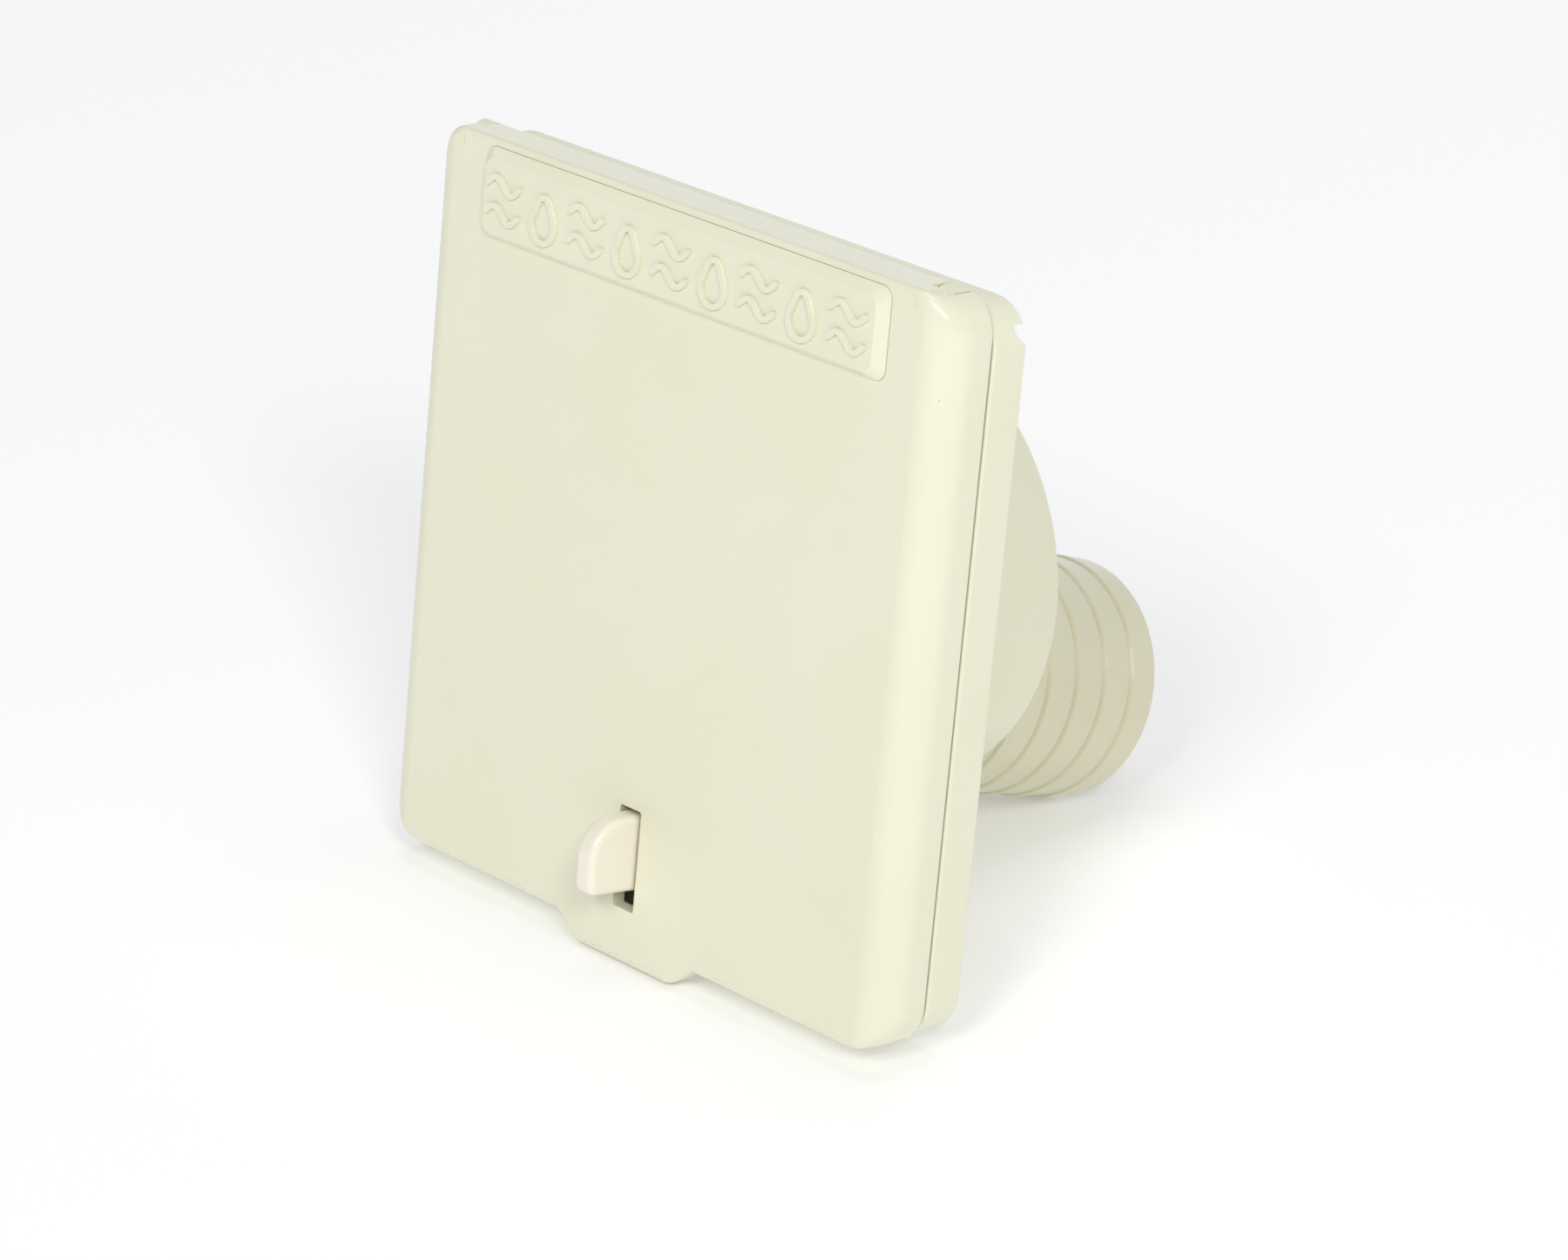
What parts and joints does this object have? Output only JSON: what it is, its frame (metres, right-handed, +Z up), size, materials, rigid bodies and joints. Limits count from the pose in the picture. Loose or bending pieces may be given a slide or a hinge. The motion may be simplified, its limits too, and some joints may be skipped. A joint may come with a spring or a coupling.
{
  "type": "gravity water fill hatch",
  "caption": "Square flange with a hinged, latched lid over a round dish that drains into a barbed hose spout, for filling a water tank through a wall.",
  "frame": {"origin": "centre of the flange's back plane, on the face of the wall it is fitted to", "axes": "+X to the right seen from outside, +Y into the wall along the dish's axis, +Z up towards the hinge"},
  "size_m": [0.095, 0.0892, 0.1003],
  "materials": {
    "ivory_plastic": "ivory moulded plastic, fine satin grain",
    "spout_plastic": "ivory moulded plastic, smooth and glossy",
    "cream_plastic": "cream moulded plastic, smooth",
    "black_rubber": "soft black rubber",
    "tether_rubber": "flexible off-white elastomer",
    "stainless_steel": "stainless, lightly brushed",
    "spring_steel": "spring wire with a film of rust"
  },
  "bodies": {
    "frame": {"mounting_frame": "ivory_plastic", "fill_dish": "ivory_plastic", "hose_spout": "spout_plastic", "hinge_pin_left": "stainless_steel", "hinge_pin_right": "stainless_steel", "plug_tether": "tether_rubber", "tether_pin": "stainless_steel"},
    "lid": {"lid": "ivory_plastic", "label_plate": "ivory_plastic", "lid_gasket": "black_rubber", "latch_retainer": "ivory_plastic", "retainer_screw_left": "stainless_steel", "retainer_screw_right": "stainless_steel", "latch_spring": "spring_steel"},
    "latch": {"latch_slider": "cream_plastic"},
    "plug": {"fill_plug": "cream_plastic", "plug_knob": "cream_plastic", "plug_o_ring": "black_rubber"}
  },
  "joints": [
    {"name": "lid_hinge", "type": "hinge", "parent": "frame", "child": "lid", "pos_m": [0, -0.00805, 0.04705], "axis": [-1, 0, 0], "range_deg": [0, 110]},
    {"name": "latch_slide", "type": "slide", "parent": "lid", "child": "latch", "axis": [0, 0, -1], "range_m": [0, 0.0024], "stiffness_N_per_m": 400, "springref_m": -0.003, "deforming": ["latch_spring"]},
    {"name": "plug_pull", "type": "slide", "parent": "frame", "child": "plug", "axis": [0, -0.977, 0.213], "range_m": [0, 0.01]}
  ]
}
